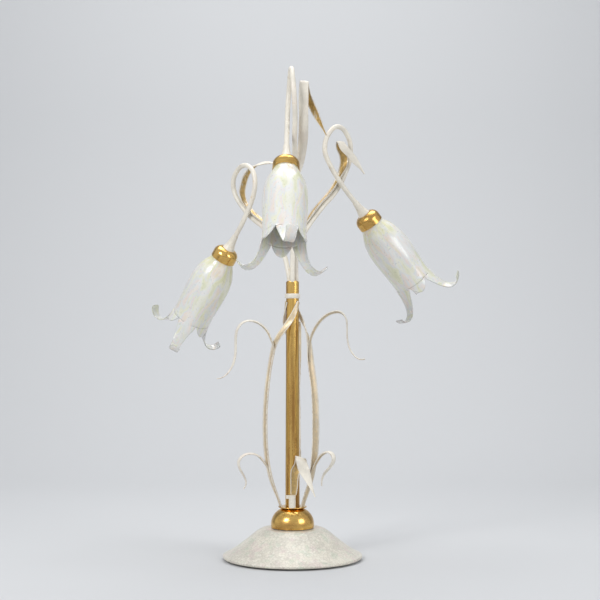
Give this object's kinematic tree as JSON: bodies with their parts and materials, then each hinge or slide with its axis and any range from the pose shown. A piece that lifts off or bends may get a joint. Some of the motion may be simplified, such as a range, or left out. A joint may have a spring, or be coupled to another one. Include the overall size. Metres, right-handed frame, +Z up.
{
  "type": "table lamp",
  "caption": "Table lamp with a domed glass foot, a brass stem caged in bent leaves, and looped arms that carry tulip glass shades.",
  "frame": {"origin": "middle of the felt's underside, on the table", "axes": "+Z up from the table, -Y towards the front of the lamp"},
  "size_m": [0.4651, 0.388, 0.6931],
  "materials": {
    "felt": "short felt",
    "cast_metal": "painted casting",
    "black_rubber": "matt",
    "pressed_glass": "milky, finely crackled",
    "plated_steel": "zinc plated",
    "white_plastic": "moulded",
    "clear_gasket": "soft, milky",
    "brass": "satin, lightly aged",
    "ivory_enamel": "ivory with a rubbed brown and gold patina",
    "black_plastic": "moulded",
    "bulb_ceramic": "pale ceramic",
    "bulb_glass": "frosted",
    "tulip_glass": "frosted, with a pale iridescence and clear tips"
  },
  "bodies": {
    "lamp": {"arm_leaf_front": "ivory_enamel", "arm_leaf_left": "ivory_enamel", "arm_leaf_right": "ivory_enamel", "arm_nipple_front": "plated_steel", "arm_nipple_left": "plated_steel", "arm_nipple_right": "plated_steel", "arm_tube_front": "ivory_enamel", "arm_tube_left": "ivory_enamel", "arm_tube_right": "ivory_enamel", "brass_cup_front": "brass", "brass_cup_left": "brass", "brass_cup_right": "brass", "brass_dome": "brass", "cage_leaf_back": "ivory_enamel", "cage_leaf_left": "ivory_enamel", "cage_leaf_right": "ivory_enamel", "centre_rod": "plated_steel", "dome_gasket": "clear_gasket", "felt_pad": "felt", "ferrule_front": "ivory_enamel", "ferrule_left": "ivory_enamel", "ferrule_right": "ivory_enamel", "foot_glass": "pressed_glass", "foot_nut": "plated_steel", "foot_pillar": "plated_steel", "foot_ring": "brass", "foot_washer": "plated_steel", "foot_weight": "cast_metal", "front_leaf": "ivory_enamel", "front_leaf_sleeve": "ivory_enamel", "lampholder_front": "black_plastic", "lampholder_left": "black_plastic", "lampholder_right": "black_plastic", "lead_grommet": "black_rubber", "lower_tendril_back": "ivory_enamel", "lower_tendril_left": "ivory_enamel", "lower_tendril_right": "ivory_enamel", "neck_washer_front": "clear_gasket", "neck_washer_left": "clear_gasket", "neck_washer_right": "clear_gasket", "stem_collar": "ivory_enamel", "stem_plug": "brass", "stem_tube": "brass", "terminal_block": "white_plastic", "upper_tendril_back": "ivory_enamel", "upper_tendril_left": "ivory_enamel", "upper_tendril_right": "ivory_enamel"},
    "shade_left": {"shade_left": "tulip_glass"},
    "ring_left": {"shade_ring_left": "black_plastic"},
    "bulb_left": {"bulb_base_left": "bulb_ceramic", "bulb_glass_left": "bulb_glass"},
    "shade_right": {"shade_right": "tulip_glass"},
    "ring_right": {"shade_ring_right": "black_plastic"},
    "bulb_right": {"bulb_base_right": "bulb_ceramic", "bulb_glass_right": "bulb_glass"},
    "shade_front": {"shade_front": "tulip_glass"},
    "ring_front": {"shade_ring_front": "black_plastic"},
    "bulb_front": {"bulb_base_front": "bulb_ceramic", "bulb_glass_front": "bulb_glass"}
  },
  "joints": [
    {"name": "shade_turn_left", "type": "hinge", "parent": "lamp", "child": "shade_left", "pos_m": [-0.09512, 0.06354, 0.447], "axis": [-0.4698, 0.3413, -0.8141], "continuous": true},
    {"name": "ring_turn_left", "type": "hinge", "parent": "lamp", "child": "ring_left", "pos_m": [-0.09512, 0.06354, 0.447], "axis": [-0.4698, 0.3413, -0.8141], "continuous": true},
    {"name": "bulb_slide_left", "type": "slide", "parent": "lamp", "child": "bulb_left", "axis": [-0.4698, 0.3413, -0.8141], "range_m": [0, 0.02]},
    {"name": "shade_turn_right", "type": "hinge", "parent": "lamp", "child": "shade_right", "pos_m": [0.1046, 0.04165, 0.4965], "axis": [0.5933, 0.2642, -0.7604], "continuous": true},
    {"name": "ring_turn_right", "type": "hinge", "parent": "lamp", "child": "ring_right", "pos_m": [0.1046, 0.04165, 0.4965], "axis": [0.5933, 0.2642, -0.7604], "continuous": true},
    {"name": "bulb_slide_right", "type": "slide", "parent": "lamp", "child": "bulb_right", "axis": [0.5933, 0.2642, -0.7604], "range_m": [0, 0.02]},
    {"name": "shade_turn_front", "type": "hinge", "parent": "lamp", "child": "shade_front", "pos_m": [-0.00799, -0.09978, 0.5615], "axis": [-0.0169, -0.4845, -0.8746], "continuous": true},
    {"name": "ring_turn_front", "type": "hinge", "parent": "lamp", "child": "ring_front", "pos_m": [-0.00799, -0.09978, 0.5615], "axis": [-0.0169, -0.4845, -0.8746], "continuous": true},
    {"name": "bulb_slide_front", "type": "slide", "parent": "lamp", "child": "bulb_front", "axis": [-0.0169, -0.4845, -0.8746], "range_m": [0, 0.02]}
  ]
}
